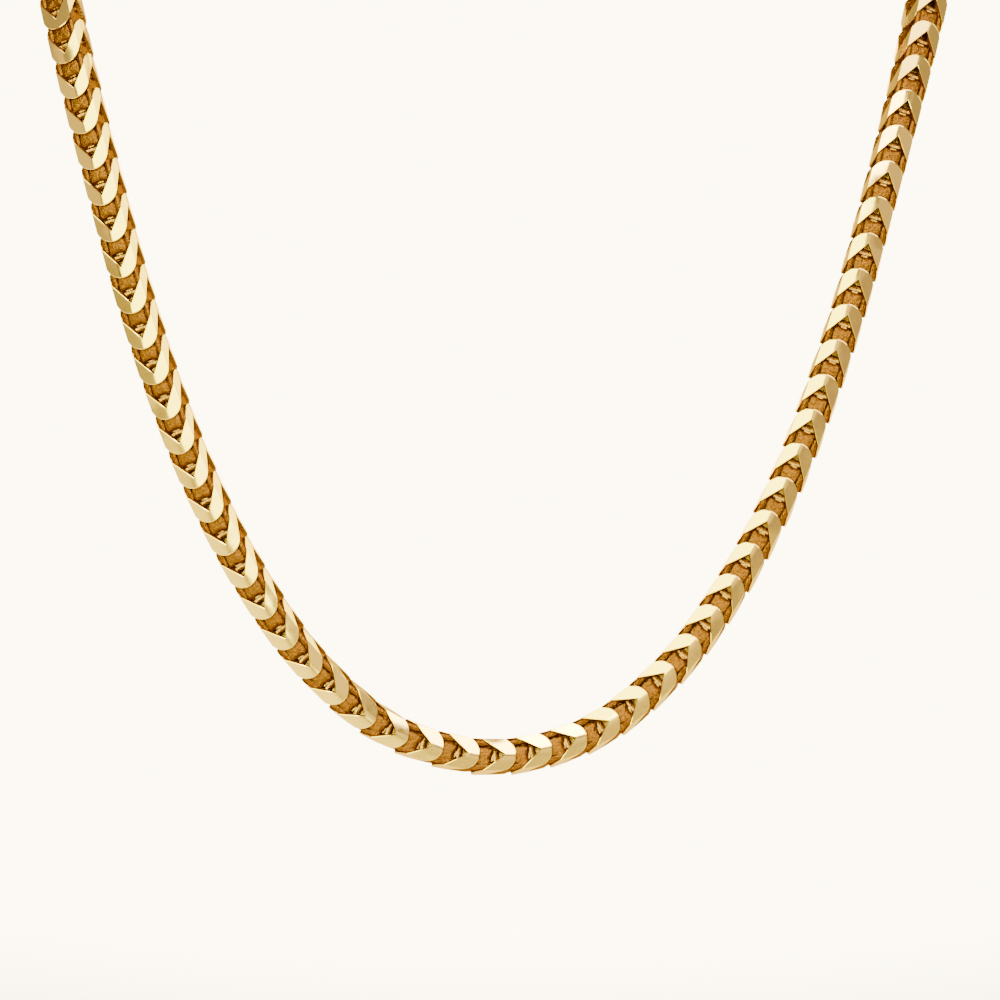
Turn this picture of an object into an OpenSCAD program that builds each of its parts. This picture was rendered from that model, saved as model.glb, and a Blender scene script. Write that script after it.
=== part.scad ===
// Franco chain necklace with a plain barrel clasp at the nape
// X runs to the wearer's left, Y to the back and Z up, from the nape

/* [Chain] */
// Height of the worn loop, from its lowest point to the nape
loop_height = 145; // [143:1:170]
// Distance from one link to the next, before the links spread evenly over the loop
link_pitch = 5; // [4.7:0.1:6]
// Width of the chain over the ridges of its faces
chain_width = 5; // [4.6:0.1:5.3]
// How far the four corners stand inside the ridges
corner_drop = 0.33; // [0.2:0.01:0.4]
// Depth of metal from a face to the hollow
wall = 1; // [0.8:0.05:1.1]

/* [Link] */
// Thickness of a chevron at its point
chevron_band = 1.5; // [1.2:0.05:1.7]
// Length of a corner edge that a link shows
corner_length = 3; // [2.6:0.1:3.2]
// Radius of the rounded outer side of a chevron
shield_radius = 2.27; // [2.2:0.01:2.6]
// Angle between a chevron arm and the chain
arm_angle = 35; // [33:0.5:38]
// Diameter of the hidden bow across each end of a link
bow_diameter = 2; // [1.6:0.05:2.1]
// How far a bow's middle stands beyond the chevron's point
bow_lead = 0.6; // [0.5:0.05:0.7]
// Width of the groove that clears the next link at each inner corner
groove = 1; // [0.9:0.05:1.1]
// Depth of metal between the end of a bow and the face
bow_cover = 0.6; // [0.5:0.05:0.7]
// Width of the shoulder that ties a bow to its chevron
shoulder_width = 1.6; // [1.2:0.1:1.8]
// How far a shoulder runs back along its chevron
shoulder_length = 1.05; // [0.9:0.05:1.15]
// How far a shoulder stands into the hollow
shoulder_rise = 0.3; // [0.2:0.05:0.35]

/* [Clasp] */
// Length of the barrel of the clasp
barrel_length = 14; // [12:0.5:16]
// Diameter of the barrel
barrel_diameter = 5.6; // [5.2:0.1:6.5]
// Width of the collar at each end of the barrel
collar_width = 1.6; // [1:0.1:2.2]
// How far the collars and the middle ring stand proud
collar_height = 0.4; // [0.2:0.05:0.6]
// Distance from the end of the barrel to the middle of the link soldered to it
end_link_offset = 1; // [0.5:0.1:1.5]

/* [Hidden] */
gold = "#d9b35b";
$fn = 48;

// Points of half the route on a loop 145 high, from the lowest point round the right to the nape:
// x, y, z, turn of the front face to the right, the same on the left, lift
ROUTE = [
    [0, -81, -145, 0, 4, 9],
    [13.5, -81, -141.6, -6, 9, 6],
    [24.3, -81, -132.8, -8, 13, 3],
    [32.5, -81, -121.5, -6, 15, 0],
    [39, -81, -109.2, -3, 15, 0],
    [44.2, -81, -96.2, -1, 15, 0],
    [48.5, -81, -83, 1, 15, 0],
    [52.2, -80.5, -69.4, 4, 15, 0],
    [55.7, -78.6, -56, 12, 18, 0],
    [58.9, -74.8, -43, 23, 25, 0],
    [61.3, -68.6, -31.2, 35, 36, 0],
    [62, -59.6, -21.3, 49, 50, 0],
    [60.5, -48, -13.6, 67, 67, 0],
    [56.3, -34.6, -7.8, 87, 87, 0],
    [48.3, -21.5, -3.8, 108, 108, 0],
    [36, -10.6, -1.4, 133, 133, 0],
    [19.5, -2.8, -0.3, 157, 157, 0],
    [0, 0, 0, 180, 180, 0],
];
STEPS = 10;

half_width = chain_width / 2;
corner = half_width - corner_drop;
hollow = half_width - wall;
bow_radius = bow_diameter / 2;
arm_slope = 1 / tan(arm_angle);
arm_foot = chevron_band + arm_slope * corner;
corner_top = arm_foot - corner_length;
link_length = corner_top + arm_foot;
link_middle = link_length / 2;
reach = 2 * link_length;
bow_seat = half_width - bow_cover;
shoulder_depth = hollow - shoulder_rise;

// The whole route: back from the nape down the left, then up the right
last = len(ROUTE) - 1;
route_scale = -loop_height / ROUTE[0][2];
function scaled(p, side, turn) =
    [side * route_scale * p[0], route_scale * p[1], route_scale * p[2], turn, p[5]];
POINTS = [
    for (i = [last:-1:1]) scaled(ROUTE[i], -1, -ROUTE[i][4]),
    for (i = [0:last]) scaled(ROUTE[i], 1, ROUTE[i][3]),
];
count = len(POINTS);

// A point beyond either end is its mirror image, so the loop closes smoothly
function past_end(p, q) = [-q[0], q[1], q[2], 2 * p[3] - q[3], q[4]];
function knot(i) =
    i < 0 ? past_end(POINTS[0], POINTS[1])
    : i >= count ? past_end(POINTS[count - 1], POINTS[count - 2])
    : POINTS[i];
function smooth(a, b, c, d, t) =
    b + 0.5 * t * (c - a + t * (2 * a - 5 * b + 4 * c - d + t * (3 * (b - c) + d - a)));
SAMPLES = [
    for (i = [0:count - 2], j = [0:STEPS - 1])
        smooth(knot(i - 1), knot(i), knot(i + 1), knot(i + 2), j / STEPS),
    POINTS[count - 1],
];
function place(p) = [p[0], p[1], p[2]];
steps = [for (i = [1:len(SAMPLES) - 1]) norm(place(SAMPLES[i]) - place(SAMPLES[i - 1]))];
function add_up(list, i = 0, sum = 0) =
    i > len(list) ? [] : concat([sum], add_up(list, i + 1, sum + (i < len(list) ? list[i] : 0)));
LENGTHS = add_up(steps);
route_length = LENGTHS[len(LENGTHS) - 1];
function column(c) = [for (i = [0:len(SAMPLES) - 1]) [LENGTHS[i], SAMPLES[i][c]]];
COLUMNS = [for (c = [0:4]) column(c)];
function at(s) = [for (c = [0:4]) lookup(s, COLUMNS[c])];

// An odd number of links, spread evenly between the two that carry the barrel
free_half = (route_length - barrel_length) / 2 - end_link_offset;
link_count = 2 * round(free_half / link_pitch) - 1;
link_spacing = 2 * free_half / (link_count + 1);
function link_at(i) = route_length / 2 + (i - (link_count - 1) / 2) * link_spacing;
half_count = floor(link_count / 2);

function unit(v) = v / norm(v);
near = link_spacing / 4;
// Axes of a link: across the face, into the face, along the chain
module on_route(s) {
    p = at(s);
    along = unit(place(at(s + near)) - place(at(s - near)));
    facing = [sin(p[3]) * cos(p[4]), -cos(p[3]) * cos(p[4]), sin(p[4])];
    inward = -unit(facing - (facing * along) * along);
    across = cross(inward, along);
    multmatrix([
        [across[0], inward[0], along[0], p[0]],
        [across[1], inward[1], along[1], p[1]],
        [across[2], inward[2], along[2], p[2]],
    ])
        children();
}

// Outline of the chain across its length: four corners and four ridges
module section() {
    polygon([
        [half_width, 0], [corner, corner], [0, half_width], [-corner, corner],
        [-half_width, 0], [-corner, -corner], [0, -half_width], [corner, -corner],
    ]);
}

// Front view of a link: rounded above, with a sharp notch below
module chevron() {
    difference() {
        union() {
            translate([0, -shield_radius]) circle(r = shield_radius);
            translate([-chain_width, -reach]) square([2 * chain_width, reach - corner_top]);
        }
        polygon([
            [0, -chevron_band],
            [chain_width, -chevron_band - arm_slope * chain_width],
            [chain_width, -2 * reach - arm_slope * chain_width],
            [-chain_width, -2 * reach - arm_slope * chain_width],
            [-chain_width, -chevron_band - arm_slope * chain_width],
        ]);
    }
}

// Hollow of a band, with a groove along each inner corner for the next link
module hollow_section() {
    square(2 * hollow, center = true);
    for (x = [-1, 1], y = [-1, 1])
        translate([x, y] * hollow) rotate(45) square(groove, center = true);
}

// The two chevrons on opposite faces
module chevron_pair() {
    rotate([90, 0, 0]) difference() {
        linear_extrude(height = 2 * chain_width, center = true) chevron();
        cube([3 * chain_width, 3 * reach, 2 * hollow], center = true);
    }
}

// The bow that joins two chevrons inside, on a shoulder at each end
module bow() {
    rotate([90, 0, 0]) {
        translate([0, bow_lead, 0]) cylinder(r = bow_radius, h = 2 * bow_seat, center = true);
        for (depth = [shoulder_depth, -bow_seat])
            translate([-shoulder_width / 2, -shoulder_length, depth])
                cube([shoulder_width, shoulder_length + bow_lead, bow_seat - shoulder_depth]);
    }
}

// Stands the front and back pair on one end and the side pair on the other
module both_ends() {
    translate([0, 0, link_middle]) children();
    rotate([180, 0, 90]) translate([0, 0, link_middle]) children();
}

// A link, centred on the origin, pointing along +Z
module link() {
    difference() {
        intersection() {
            both_ends() chevron_pair();
            translate([0, 0, -reach]) linear_extrude(height = 2 * reach) section();
        }
        translate([0, 0, -reach]) linear_extrude(height = 2 * reach) hollow_section();
    }
    both_ends() bow();
}

module chain_left() {
    color(gold)
        for (i = [0:half_count - 1])
            on_route(link_at(i)) link();
}

module chain_right() {
    color(gold)
        for (i = [half_count:link_count - 1])
            on_route(link_at(i)) link();
}

// Barrel with two collars and a middle ring, and a soldered link at each end
module clasp() {
    color(gold) {
        on_route(link_at(-1)) link();
        on_route(link_at(link_count)) link();
        rotate([0, 90, 0]) {
            cylinder(d = barrel_diameter, h = barrel_length, center = true);
            for (x = [-1, 0, 1])
                translate([0, 0, x * (barrel_length - collar_width) / 2])
                    cylinder(d = barrel_diameter + 2 * collar_height, h = collar_width, center = true);
        }
    }
}

chain_left();
chain_right();
clasp();
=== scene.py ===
"""Polished franco chain necklace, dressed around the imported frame."""
import math

import bpy
import numpy as np
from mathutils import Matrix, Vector


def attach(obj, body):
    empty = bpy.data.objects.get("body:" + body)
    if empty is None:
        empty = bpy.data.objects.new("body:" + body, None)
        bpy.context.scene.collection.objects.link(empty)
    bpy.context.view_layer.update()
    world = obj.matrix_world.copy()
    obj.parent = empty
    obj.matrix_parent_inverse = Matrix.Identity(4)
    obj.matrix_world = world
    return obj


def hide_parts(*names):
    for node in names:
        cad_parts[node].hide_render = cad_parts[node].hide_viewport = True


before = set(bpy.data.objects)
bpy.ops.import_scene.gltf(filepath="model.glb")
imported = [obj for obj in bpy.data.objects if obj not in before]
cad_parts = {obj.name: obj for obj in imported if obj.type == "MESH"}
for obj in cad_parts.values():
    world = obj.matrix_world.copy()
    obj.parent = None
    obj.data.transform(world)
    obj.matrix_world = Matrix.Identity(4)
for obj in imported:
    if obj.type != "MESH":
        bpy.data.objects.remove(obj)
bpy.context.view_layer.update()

MM = 0.001

# Chain, in millimetres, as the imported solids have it
LINK_PITCH = 5.0
HALF_WIDTH = 2.5
CORNER = 2.17
WALL = 1.0
HOLLOW = HALF_WIDTH - WALL
CHEVRON_BAND = 1.5
CORNER_LENGTH = 3.0
SHIELD_RADIUS = 2.27
ARM_SLOPE = 1 / math.tan(math.radians(35))
ARM_FOOT = CHEVRON_BAND + ARM_SLOPE * CORNER
CORNER_TOP = ARM_FOOT - CORNER_LENGTH
LINK_LENGTH = CORNER_TOP + ARM_FOOT
LINK_MIDDLE = LINK_LENGTH / 2

# Clasp, in millimetres
BARREL_LENGTH = 14.0
BARREL_RADIUS = 2.8
COLLAR_WIDTH = 1.6
COLLAR_HEIGHT = 0.4
COLLAR_EDGE = 0.25
COLLAR_FOOT = 0.05
END_RING_RADIUS = 0.3
BARREL_SIDES = 48
END_LINK_OFFSET = 1.0

# Points of half the route: x, y, z, turn on the right, turn on the left, lift
ROUTE = [
    (0, -81, -145, 0, 4, 9),
    (13.5, -81, -141.6, -6, 9, 6),
    (24.3, -81, -132.8, -8, 13, 3),
    (32.5, -81, -121.5, -6, 15, 0),
    (39, -81, -109.2, -3, 15, 0),
    (44.2, -81, -96.2, -1, 15, 0),
    (48.5, -81, -83, 1, 15, 0),
    (52.2, -80.5, -69.4, 4, 15, 0),
    (55.7, -78.6, -56, 12, 18, 0),
    (58.9, -74.8, -43, 23, 25, 0),
    (61.3, -68.6, -31.2, 35, 36, 0),
    (62, -59.6, -21.3, 49, 50, 0),
    (60.5, -48, -13.6, 67, 67, 0),
    (56.3, -34.6, -7.8, 87, 87, 0),
    (48.3, -21.5, -3.8, 108, 108, 0),
    (36, -10.6, -1.4, 133, 133, 0),
    (19.5, -2.8, -0.3, 157, 157, 0),
    (0, 0, 0, 180, 180, 0),
]
ROUTE_STEPS = 10


class Route:
    """The closed curve that the links follow, with the turn and lift of their faces."""

    def __init__(self):
        left = [(-x, y, z, -turn, lift) for x, y, z, _, turn, lift in reversed(ROUTE[1:])]
        right = [(x, y, z, turn, lift) for x, y, z, turn, _, lift in ROUTE]
        points = np.array(left + right, float)
        before = self.past_end(points[0], points[1])
        after = self.past_end(points[-1], points[-2])
        knots = np.vstack([before, points, after])
        samples = []
        for i in range(1, len(knots) - 2):
            a, b, c, d = knots[i - 1:i + 3]
            for t in np.arange(ROUTE_STEPS) / ROUTE_STEPS:
                samples.append(self.smooth(a, b, c, d, t))
        samples.append(points[-1])
        self.samples = np.array(samples)
        steps = np.linalg.norm(np.diff(self.samples[:, :3], axis=0), axis=1)
        self.lengths = np.concatenate([[0], np.cumsum(steps)])
        self.length = self.lengths[-1]

    @staticmethod
    def past_end(p, q):
        """A point beyond an end: its mirror image, so the loop closes smoothly."""
        return np.array([-q[0], q[1], q[2], 2 * p[3] - q[3], q[4]])

    @staticmethod
    def smooth(a, b, c, d, t):
        """A point between b and c, on the curve through a, b, c and d."""
        return b + 0.5 * t * (c - a + t * (2 * a - 5 * b + 4 * c - d + t * (3 * (b - c) + d - a)))

    def at(self, s):
        return np.array([np.interp(s, self.lengths, self.samples[:, k]) for k in range(5)])

    def place(self, s):
        """The turn matrix and the position of a link at s along the route."""
        p = self.at(s)
        near = LINK_PITCH / 4
        along = self.at(s + near)[:3] - self.at(s - near)[:3]
        along /= np.linalg.norm(along)
        turn, lift = np.radians(p[3]), np.radians(p[4])
        facing = np.array([
            math.sin(turn) * math.cos(lift), -math.cos(turn) * math.cos(lift), math.sin(lift)])
        inward = facing @ along * along - facing
        inward /= np.linalg.norm(inward)
        across = np.cross(inward, along)
        return np.column_stack([across, inward, along]), p[:3]


# Material numbers of a shape's faces: cut and polished, cast inner metal darkened with painted
# shade, and the strap, darkened less with painted shade
CUT, CAST, STRAP = 0, 1, 2


class Shape:
    """Points in millimetres, faces and their material numbers, growing piece by piece."""

    def __init__(self):
        self.points = np.zeros((0, 3))
        self.faces = []
        self.kinds = []

    def add(self, points, faces, kinds):
        start = len(self.points)
        self.points = np.vstack([self.points, points])
        self.faces += [tuple(start + i for i in face) for face in faces]
        self.kinds += list(kinds)

    def add_shape(self, other, turn=np.eye(3), at=(0, 0, 0)):
        self.add(other.points @ turn.T + np.array(at), other.faces, other.kinds)


def ring_faces(rings, sides, closed):
    """Quads between consecutive rings of points."""
    faces = []
    for i in range(rings if closed else rings - 1):
        j = (i + 1) % rings
        for k in range(sides):
            m = (k + 1) % sides
            faces.append((i * sides + k, i * sides + m, j * sides + m, j * sides + k))
    return faces


def tube(rings, sides, kind):
    """A closed shape from rings of points, with an end face on the first and the last."""
    count = len(rings) // sides
    faces = ring_faces(count, sides, False)
    faces.append(tuple(reversed(range(sides))))
    faces.append(tuple(range((count - 1) * sides, count * sides)))
    shape = Shape()
    shape.add(np.array(rings), faces, [kind] * len(faces))
    return shape


# The band of a link: broken edges, a rounded ridge on each face, and a bulged inner wall
EDGE = 0.12
SHIELD_EDGE = 0.16
EDGE_BEND = 0.3
RIDGE_ROUNDING = 0.28
HOLLOW_SPREAD = 1.06
# Shares of the way from the ridge of a face to its corner, where the band has a section
FACE_STEPS = [0, 0.12, 0.22, 0.34, 0.48, 0.61, 0.73, 0.84, 0.92, 0.985]
# Wall between face and hollow: share of the depth, then how far it stands in from the lower
# and from the upper edge
WALL_ROWS = [(0.35, -0.02, -0.02), (0.7, -0.04, -0.02), (0.93, 0.12, 0.12), (1, 0.3, 0.3)]


def face_depth(w):
    """How far the face falls behind its ridge, at a share w of the way to the corner."""
    soft = RIDGE_ROUNDING
    return (HALF_WIDTH - CORNER) * (math.hypot(w, soft) - soft) / (math.hypot(1, soft) - soft)


def chevron_top(u):
    """Rounded outer side of a chevron, at u across the face."""
    return math.sqrt(max(SHIELD_RADIUS ** 2 - u * u, 0)) - SHIELD_RADIUS


def chevron_bottom(u):
    """Straight inner side of a chevron, at u across the face."""
    return -CHEVRON_BAND - ARM_SLOPE * abs(u)


def face_levels(u, front):
    """Highest and lowest level of the band: front faces point along the chain, side faces back."""
    top, bottom = chevron_top(u), chevron_bottom(u)
    return (top, bottom) if front else (-LINK_LENGTH - bottom, -LINK_LENGTH - top)


def band_section(outer, inner, top, bottom, top_edge, bottom_edge):
    """Closed outline of the band at one place, with the material number of each stretch."""
    # Down the face and up the inner wall: level, share of the depth, material
    rows = [
        (top - top_edge, 0, CUT),
        ((top + bottom) / 2, 0, CUT),
        (bottom + bottom_edge, 0, CUT),
        (bottom + EDGE_BEND ** 2 * bottom_edge, EDGE_BEND * bottom_edge, CUT),
        (bottom, bottom_edge, CAST),
    ]
    rows += [(bottom + low, depth, CAST) for depth, low, _ in WALL_ROWS]
    rows += [(top - high, depth, CAST) for depth, _, high in reversed(WALL_ROWS)]
    rows += [(top, top_edge, CUT), (top - EDGE_BEND * top_edge, EDGE_BEND * top_edge, CUT)]
    points = [(*(outer + (inner - outer) * depth), level) for level, depth, _ in rows]
    return points, [kind for _, _, kind in rows]


def band():
    """The saddle of a link: four faces, each with a chevron."""
    points, kinds = [], []
    steps = [-w for w in reversed(FACE_STEPS[1:])] + FACE_STEPS
    for quarter in range(4):
        turn = quarter * math.pi / 2
        spin = np.array([[math.cos(turn), -math.sin(turn)], [math.sin(turn), math.cos(turn)]])
        front = quarter % 2 == 0
        edges = (SHIELD_EDGE, EDGE) if front else (EDGE, SHIELD_EDGE)
        for w in steps:
            u = CORNER * w
            outer = spin @ np.array([u, face_depth(w) - HALF_WIDTH])
            inner = spin @ np.array([HOLLOW * HOLLOW_SPREAD * w, -HOLLOW])
            section, section_kinds = band_section(outer, inner, *face_levels(u, front), *edges)
            points += section
            kinds += section_kinds
    sides = len(section)
    shape = Shape()
    shape.add(np.array(points), ring_faces(len(points) // sides, sides, True), kinds)
    return shape


# Half the outline of a bow, seen from its end: across, and share of the way from root to crown
BOW_OUTLINE = [
    (0, 0.92), (0.35, 0.935), (0.75, 0.98), (1.08, 1),
    (1.26, 0.9), (1.3, 0.56), (1.24, 0.28), (1.1, 0),
]
# Along a bow, from its middle: depth, width, crown and root; a thin strap between two full lumps
BOW_RINGS = [
    (0, 1.12, 2.05, 1.2),
    (0.55, 1.12, 2.0, 1.12),
    (0.95, 1.2, 1.96, 1.0),
    (1.2, 1.34, 1.95, 0.3),
    (1.4, 1.32, 1.88, -0.4),
    (1.6, 1.04, 1.72, -0.5),
    (1.8, 0.96, 1.58, -0.5),
    (1.92, 0.84, 1.4, -0.4),
]
# How many rings on each side of the middle belong to the strap, and where its crown begins
STRAP_RINGS = 2
STRAP_CROWN = 0.5
# The domed end of a bow: share of the outline, and depth; the outline shrinks to this height
BOW_DOME = [(0.62, 2.01), (0.3, 2.04)]
DOME_HEIGHT = 0.7
# The shallow dent down each end of a bow
DENT_DEPTH = 0.07
DENT_WIDTH = 0.3
DENT_START = 1.7


def bow():
    """Two lumps joined by an arched strap."""
    outline = BOW_OUTLINE + [(-u, t) for u, t in reversed(BOW_OUTLINE[1:])]
    rows = [(*row, 1) for row in BOW_RINGS]
    rows += [(v, *BOW_RINGS[-1][1:], share) for share, v in BOW_DOME]
    rows = [(-row[0], *row[1:]) for row in reversed(rows[1:])] + rows
    rings = []
    for v, width, crown, root, share in rows:
        for u, t in outline:
            across = u * width * share
            out = DOME_HEIGHT * (1 - share) + (root + (crown - root) * t) * share
            dent = DENT_DEPTH * math.exp(-(across / DENT_WIDTH) ** 2) if abs(v) > DENT_START else 0
            rings.append((across, v - math.copysign(dent, v), out))
    sides = len(outline)
    shape = tube(rings, sides, CAST)
    middle = len(rows) // 2
    for ring in range(middle - STRAP_RINGS, middle + STRAP_RINGS):
        for k in range(sides):
            if min(outline[k][1], outline[(k + 1) % sides][1]) > STRAP_CROWN:
                shape.kinds[ring * sides + k] = STRAP
    return shape


# The bar under the strap, deep inside the link
HEART_WIDTH = 0.95
HEART_LENGTH = 1.5
HEART_HEIGHT = 1.3
HEART_LEVEL = 0.6
HEART_SIDES = 8


def heart():
    """Bar under the strap that closes the view through the link."""
    rings = []
    for v in (-HEART_LENGTH, HEART_LENGTH):
        for k in range(HEART_SIDES):
            a = 2 * math.pi * (k + 0.5) / HEART_SIDES
            rings.append((HEART_WIDTH * math.cos(a), v, HEART_LEVEL + HEART_HEIGHT * math.sin(a)))
    # The bar takes the strap's gold, darkened as painted shade
    return tube(rings, HEART_SIDES, STRAP)


# Rounded metal that shows at each corner between the arms of two links
TIP_RADIUS = 0.45
TIP_PLACE = 1.62
TIP_SIDES = 8
# Along a tip: level and share of its radius
TIP_RINGS = [(-3.9, 0.8), (-4.5, 1), (-5.5, 1), (-5.95, 0.85), (-6.2, 0.45)]


def tip(x, y):
    """A short rounded bar along a corner, below the arm's tip."""
    rings = []
    for level, share in TIP_RINGS:
        radius = TIP_RADIUS * share
        for k in range(TIP_SIDES):
            a = 2 * math.pi * k / TIP_SIDES
            across = x * TIP_PLACE + radius * math.cos(a)
            inward = y * TIP_PLACE + radius * math.sin(a)
            rings.append((across, inward, level))
    return tube(rings, TIP_SIDES, CAST)


def link():
    """A whole link, centred on the origin, pointing along +Z."""
    whole = Shape()
    whole.add_shape(band(), at=(0, 0, LINK_MIDDLE))
    over = np.array([[0, 1, 0], [1, 0, 0], [0, 0, -1]])
    for part in (bow(), heart()):
        whole.add_shape(part, at=(0, 0, LINK_MIDDLE))
        whole.add_shape(part, over, (0, 0, -LINK_MIDDLE))
    for x in (-1, 1):
        for y in (-1, 1):
            whole.add_shape(tip(x, y), at=(0, 0, LINK_MIDDLE))
    return whole


# Edges sharper than this stay crisp
SHARP_ANGLE = math.radians(14)


def add_piece(name, node, shape, materials):
    """A Blender object from a shape, in place of the CAD node."""
    mesh = bpy.data.meshes.new(name)
    mesh.from_pydata((shape.points * MM).tolist(), [], shape.faces)
    for material in materials:
        mesh.materials.append(material)
    mesh.polygons.foreach_set("material_index", shape.kinds)
    mesh.polygons.foreach_set("use_smooth", [True] * len(mesh.polygons))
    mesh.update()
    mesh.set_sharp_from_angle(angle=SHARP_ANGLE)
    piece = bpy.data.objects.new(name, mesh)
    bpy.context.scene.collection.objects.link(piece)
    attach(piece, "root")
    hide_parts(node)


# Golds: darker and lighter colour, colour at grazing angles, range of roughness
CUT_COLOURS = ((0.93, 0.56, 0.09), (0.95, 0.6, 0.12))
CUT_GRAZING = (1, 0.78, 0.4, 1)
CUT_ROUGHNESS = (0.07, 0.14)
# Cast gold: its dark colours are painted shade of the recesses inside the links
CAST_PAINTED_SHADE_COLOURS = ((0.12, 0.042, 0.005), (0.25, 0.093, 0.009))
CAST_GRAZING = (0.8, 0.5, 0.2, 1)
CAST_ROUGHNESS = (0.28, 0.45)
# Strap gold: darkened as painted shade inside the links, less than the cast gold
STRAP_PAINTED_SHADE_COLOURS = ((0.42, 0.19, 0.035), (0.7, 0.39, 0.07))
STRAP_ROUGHNESS = (0.32, 0.45)
# Noises: waves in a metre, detail, roughness
CUT_TONE = (260, 2, 0.5)
WEAR = (900, 3, 0.5)
WAVE = (160, 1, 0.5)
HAIRLINES = (5200, 2, 0.5)
CAST_TONE = (2600, 2, 0.6)
PEBBLES = (2800, 2, 0.6)
# Values between which noise mostly stays
NOISE_RANGE = (0.3, 0.7)
# Bumps: strength, and height in metres
WAVE_BUMP = (0.2, 0.001)
HAIRLINE_BUMP = (0.05, 0.00002)
PEBBLE_BUMP = (1, 0.00022)


def new_material(name):
    """A material, with its nodes, its links and its shader."""
    material = bpy.data.materials.new(name)
    material.use_nodes = True
    nodes = material.node_tree.nodes
    return material, nodes, material.node_tree.links, nodes["Principled BSDF"]


def noise(nodes, links, coordinate, scale, detail, rough):
    node = nodes.new("ShaderNodeTexNoise")
    node.inputs["Scale"].default_value = scale
    node.inputs["Detail"].default_value = detail
    node.inputs["Roughness"].default_value = rough
    links.new(coordinate, node.inputs["Vector"])
    return node.outputs["Fac"]


def map_range(nodes, links, value, to_range, from_range=NOISE_RANGE):
    node = nodes.new("ShaderNodeMapRange")
    node.inputs["From Min"].default_value = from_range[0]
    node.inputs["From Max"].default_value = from_range[1]
    node.inputs["To Min"].default_value = to_range[0]
    node.inputs["To Max"].default_value = to_range[1]
    links.new(value, node.inputs["Value"])
    return node.outputs["Result"]


def mix_colour(nodes, links, factor, first, second):
    node = nodes.new("ShaderNodeMix")
    node.data_type = "RGBA"
    node.inputs["A"].default_value = (*first, 1)
    node.inputs["B"].default_value = (*second, 1)
    links.new(factor, node.inputs["Factor"])
    return node.outputs["Result"]


def bump(nodes, links, height, strength, distance, normal=None):
    node = nodes.new("ShaderNodeBump")
    node.inputs["Strength"].default_value = strength
    node.inputs["Distance"].default_value = distance
    links.new(height, node.inputs["Height"])
    if normal is not None:
        links.new(normal, node.inputs["Normal"])
    return node.outputs["Normal"]


def cut_gold(name):
    """Diamond-cut faces: mirror bright, with a faint waviness and hairlines."""
    material, nodes, links, shader = new_material(name)
    place = nodes.new("ShaderNodeTexCoord").outputs["Object"]
    tone = noise(nodes, links, place, *CUT_TONE)
    links.new(mix_colour(nodes, links, tone, *CUT_COLOURS), shader.inputs["Base Color"])
    shader.inputs["Metallic"].default_value = 1
    shader.inputs["Specular Tint"].default_value = CUT_GRAZING
    wear = noise(nodes, links, place, *WEAR)
    links.new(map_range(nodes, links, wear, CUT_ROUGHNESS), shader.inputs["Roughness"])
    wavy = bump(nodes, links, noise(nodes, links, place, *WAVE), *WAVE_BUMP)
    scratched = bump(nodes, links, noise(nodes, links, place, *HAIRLINES), *HAIRLINE_BUMP, wavy)
    links.new(scratched, shader.inputs["Normal"])
    return material


def inner_gold_painted_shade(name, colours, roughness):
    """Metal inside the links that the cutter missed: pebbly, with its deeper colour painted shade
    of the recesses.
    """
    material, nodes, links, shader = new_material(name)
    place = nodes.new("ShaderNodeTexCoord").outputs["Object"]
    tone = noise(nodes, links, place, *CAST_TONE)
    links.new(mix_colour(nodes, links, tone, *colours), shader.inputs["Base Color"])
    shader.inputs["Metallic"].default_value = 1
    shader.inputs["Specular Tint"].default_value = CAST_GRAZING
    links.new(map_range(nodes, links, tone, roughness), shader.inputs["Roughness"])
    pebbly = bump(nodes, links, noise(nodes, links, place, *PEBBLES), *PEBBLE_BUMP)
    links.new(pebbly, shader.inputs["Normal"])
    return material


# The photograph's frame: pixels of the U's centre line and lowest point, and its scale
IMAGE_SIZE = 1000
PIXEL = 0.1355 * MM
CENTRE_LINE_X = 493.7
LOWEST_Y = 756.6
CAMERA_DISTANCE = 0.9
CAMERA_CLIP = 0.01
FRONT_PLANE = -81 * MM
LOWEST = -145 * MM

view_x = (IMAGE_SIZE / 2 - CENTRE_LINE_X) * PIXEL
view_z = LOWEST + (LOWEST_Y - IMAGE_SIZE / 2) * PIXEL
view_point = (view_x, FRONT_PLANE, view_z)
camera_place = (view_x, FRONT_PLANE - CAMERA_DISTANCE, view_z)


def aim(thing, place, target):
    """Puts a camera or a light at its place, pointing at the target."""
    thing.location = place
    thing.rotation_euler = (Vector(target) - Vector(place)).to_track_quat("-Z", "Y").to_euler()


def add_camera():
    """The photograph's view: square on to the front of the chain."""
    data = bpy.data.cameras.new("camera")
    data.sensor_fit = "HORIZONTAL"
    data.angle = 2 * math.atan(IMAGE_SIZE / 2 * PIXEL / CAMERA_DISTANCE)
    data.clip_start = CAMERA_CLIP
    camera = bpy.data.objects.new("camera", data)
    bpy.context.scene.collection.objects.link(camera)
    aim(camera, camera_place, view_point)
    bpy.context.scene.camera = camera


# Backdrop, in metres: a floor that curves up into a wall behind, with a glow on the wall
FLOOR_DROP = 0.14
FLOOR_Z = LOWEST - FLOOR_DROP
BACKDROP_DEPTH = 1.6
BACKDROP_REACH = 8.0
BACKDROP_HEIGHT = 4.0
BACKDROP_CURVE = 0.6
CURVE_STEPS = 16
BACKDROP_ROUGHNESS = 0.9
PALE = (0.9, 0.86, 0.79)
SHADED = (0.25, 0.23, 0.19)
# Where the floor in front turns from shaded to pale
SHADE_RANGE = (-0.55, -0.15)
GLOW = 10
GLOW_COLOUR = (1, 0.84, 0.58, 1)
# Distances from the glow's middle between which it fades
GLOW_RANGE = (0.45, 0.62)
# Brightness of the pale world around the backdrop
WORLD_STRENGTH = 0.7


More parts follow.
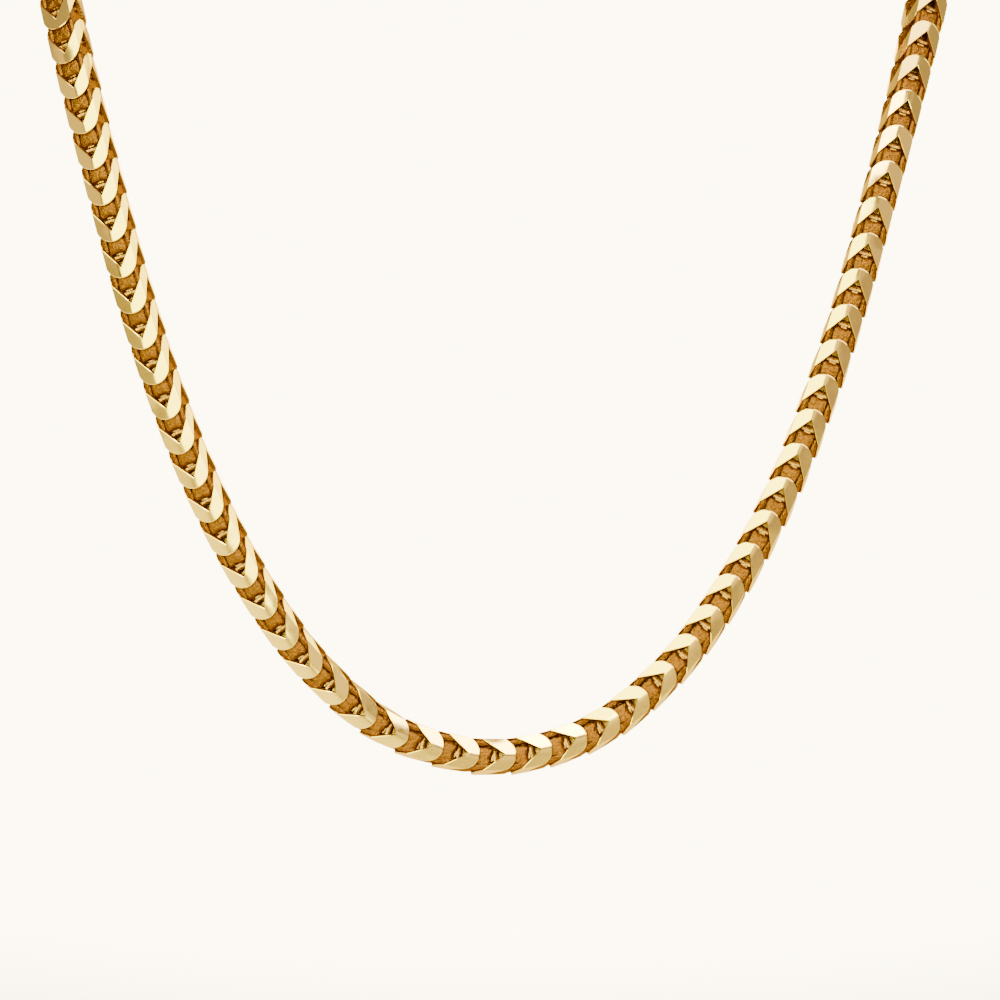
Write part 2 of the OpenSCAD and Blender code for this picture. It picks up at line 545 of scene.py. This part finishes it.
def backdrop_material():
    """Pale and dull, darker on the floor in front, with the glow behind the chain."""
    material, nodes, links, shader = new_material("backdrop")
    place = nodes.new("ShaderNodeTexCoord").outputs["Object"]
    split = nodes.new("ShaderNodeSeparateXYZ")
    links.new(place, split.inputs["Vector"])
    shade = map_range(nodes, links, split.outputs["Y"], (0, 1), SHADE_RANGE)
    links.new(mix_colour(nodes, links, shade, SHADED, PALE), shader.inputs["Base Color"])
    shader.inputs["Roughness"].default_value = BACKDROP_ROUGHNESS
    spot = nodes.new("ShaderNodeVectorMath")
    spot.operation = "DISTANCE"
    spot.inputs[1].default_value = (view_x, BACKDROP_DEPTH, view_z)
    links.new(place, spot.inputs[0])
    glow = map_range(nodes, links, spot.outputs["Value"], (GLOW, 0), GLOW_RANGE)
    shader.inputs["Emission Color"].default_value = GLOW_COLOUR
    links.new(glow, shader.inputs["Emission Strength"])
    return material


def add_backdrop():
    """A floor and a wall in one sheet, with a curve between them."""
    profile = [(-BACKDROP_REACH, 0)]
    for a in np.linspace(0, math.pi / 2, CURVE_STEPS):
        y = BACKDROP_DEPTH - BACKDROP_CURVE * (1 - math.sin(a))
        profile.append((y, BACKDROP_CURVE * (1 - math.cos(a))))
    profile.append((BACKDROP_DEPTH, BACKDROP_HEIGHT))
    points = [(x, y, FLOOR_Z + z) for y, z in profile for x in (-BACKDROP_REACH, BACKDROP_REACH)]
    faces = [(2 * i, 2 * i + 1, 2 * i + 3, 2 * i + 2) for i in range(len(profile) - 1)]
    mesh = bpy.data.meshes.new("backdrop")
    mesh.from_pydata(points, [], faces)
    mesh.polygons.foreach_set("use_smooth", [True] * len(faces))
    mesh.materials.append(backdrop_material())
    backdrop = bpy.data.objects.new("backdrop", mesh)
    bpy.context.scene.collection.objects.link(backdrop)


def add_world():
    world = bpy.data.worlds.new("studio")
    bpy.context.scene.world = world
    world.use_nodes = True
    background = world.node_tree.nodes["Background"]
    background.inputs["Color"].default_value = (*PALE, 1)
    background.inputs["Strength"].default_value = WORLD_STRENGTH


# Soft boxes: name, azimuths and elevations that each fills as the chain sees it, in degrees with
# azimuth 0 at the camera, distance in metres, brightness and colour
SOFT_BOXES = [
    ("key", (-39, -6), (-10, 38), 1.4, 11, (0.8, 1, 0.22)),
    ("ridges", (-6, 8), (-12, 7), 1.5, 1.1, (1, 0.97, 0.6)),
    ("upper_faces", (-12, 14), (17, 38), 1.4, 17, (1, 1, 0.9)),
    ("right_faces", (8, 45), (-22, 16), 1.5, 0.5, (1, 0.9, 0.95)),
    ("left_faces", (-75, -47), (-25, 20), 1.5, 0.65, (1, 0.95, 0.5)),
    ("edges", (20, 60), (24, 60), 1.4, 6, (1, 1, 1)),
    ("top", (-25, 25), (62, 88), 1.2, 6, (1, 1, 1)),
    ("rear_right", (104, 150), (-6, 40), 1.2, 6, (0.85, 1, 0.4)),
]
# A bright card that lies on the floor in front, for the lower faces: its reach to either side of
# the view point and in front of it, in metres
CARD_X = (-0.55, 0.06)
CARD_Y = (0.2, 0.53)
CARD_LIFT = 0.005
CARD_BRIGHTNESS = 1.2
CARD_COLOUR = (0.92, 1, 0.25)


def area_light(name, place, target, size, brightness, colour):
    data = bpy.data.lights.new(name, "AREA")
    data.shape = "RECTANGLE"
    data.size, data.size_y = size
    data.energy = brightness * math.pi * size[0] * size[1]
    data.color = colour
    light = bpy.data.objects.new(name, data)
    light.visible_camera = False
    bpy.context.scene.collection.objects.link(light)
    aim(light, place, target)


def span(angles, distance):
    """Size of a box that fills these angles at this distance."""
    low, high = angles
    return 2 * distance * math.tan(math.radians((high - low) / 2))


def soft_box(name, azimuths, elevations, distance, brightness, colour):
    azimuth = math.radians(sum(azimuths) / 2)
    elevation = math.radians(sum(elevations) / 2)
    flat = distance * math.cos(elevation)
    rise = distance * math.sin(elevation)
    x, y, z = view_point
    place = (x + flat * math.sin(azimuth), y - flat * math.cos(azimuth), z + rise)
    size = (span(azimuths, distance), span(elevations, distance))
    area_light(name, place, view_point, size, brightness, colour)


def floor_card():
    x, y, _ = view_point
    (left, right), (near, far) = CARD_X, CARD_Y
    place = (x + (left + right) / 2, y - (near + far) / 2, FLOOR_Z + CARD_LIFT)
    above = (place[0], place[1], place[2] + 1)
    area_light("floor_card", place, above, (right - left, far - near), CARD_BRIGHTNESS, CARD_COLOUR)


def add_lights():
    for box in SOFT_BOXES:
        soft_box(*box)
    floor_card()


# The links spread evenly over the route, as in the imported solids
route = Route()
free_half = (route.length - BARREL_LENGTH) / 2 - END_LINK_OFFSET
link_count = 2 * round(free_half / LINK_PITCH) - 1
link_spacing = 2 * free_half / (link_count + 1)
half_count = link_count // 2


def chain_links(numbers):
    """The links with these numbers, each in its place along the route."""
    one = link()
    whole = Shape()
    for i in numbers:
        s = route.length / 2 + (i - (link_count - 1) / 2) * link_spacing
        whole.add_shape(one, *route.place(s))
    return whole


def barrel():
    """Plain barrel with a collar at each end and a ring in the middle, turned about X."""
    half = BARREL_LENGTH / 2
    proud = BARREL_RADIUS + COLLAR_HEIGHT
    edge = COLLAR_EDGE
    bend = EDGE_BEND * edge
    collar_end = COLLAR_WIDTH - half
    middle = -COLLAR_WIDTH / 2
    # From the flat end to the middle: place along the barrel, radius
    profile = [
        (-half, END_RING_RADIUS),
        (-half, proud - edge),
        (-half + bend, proud - bend),
        (-half + edge, proud),
        (collar_end - edge, proud),
        (collar_end - bend, proud - bend),
        (collar_end, proud - edge),
        (collar_end + COLLAR_FOOT, BARREL_RADIUS),
        (middle - COLLAR_FOOT, BARREL_RADIUS),
        (middle, proud - edge),
        (middle + bend, proud - bend),
        (middle + edge, proud),
    ]
    profile += [(-x, r) for x, r in reversed(profile)]
    rings = []
    for x, r in profile:
        for k in range(BARREL_SIDES):
            a = 2 * math.pi * k / BARREL_SIDES
            rings.append((x, r * math.cos(a), r * math.sin(a)))
    return tube(rings, BARREL_SIDES, CUT)


def clasp():
    """The barrel with a soldered link at each end."""
    whole = barrel()
    whole.add_shape(chain_links((-1, link_count)))
    return whole


add_camera()
add_backdrop()
add_world()
add_lights()
# In the order of CUT, CAST and STRAP
gold = [
    cut_gold("cut_gold"),
    inner_gold_painted_shade("inner_gold_painted_shade", CAST_PAINTED_SHADE_COLOURS, CAST_ROUGHNESS),
    inner_gold_painted_shade("strap_in_painted_shade", STRAP_PAINTED_SHADE_COLOURS, STRAP_ROUGHNESS),
]
add_piece("links_left", "chain_left", chain_links(range(half_count)), gold)
add_piece("links_right", "chain_right", chain_links(range(half_count, link_count)), gold)
add_piece("clasp_barrel", "clasp", clasp(), gold)
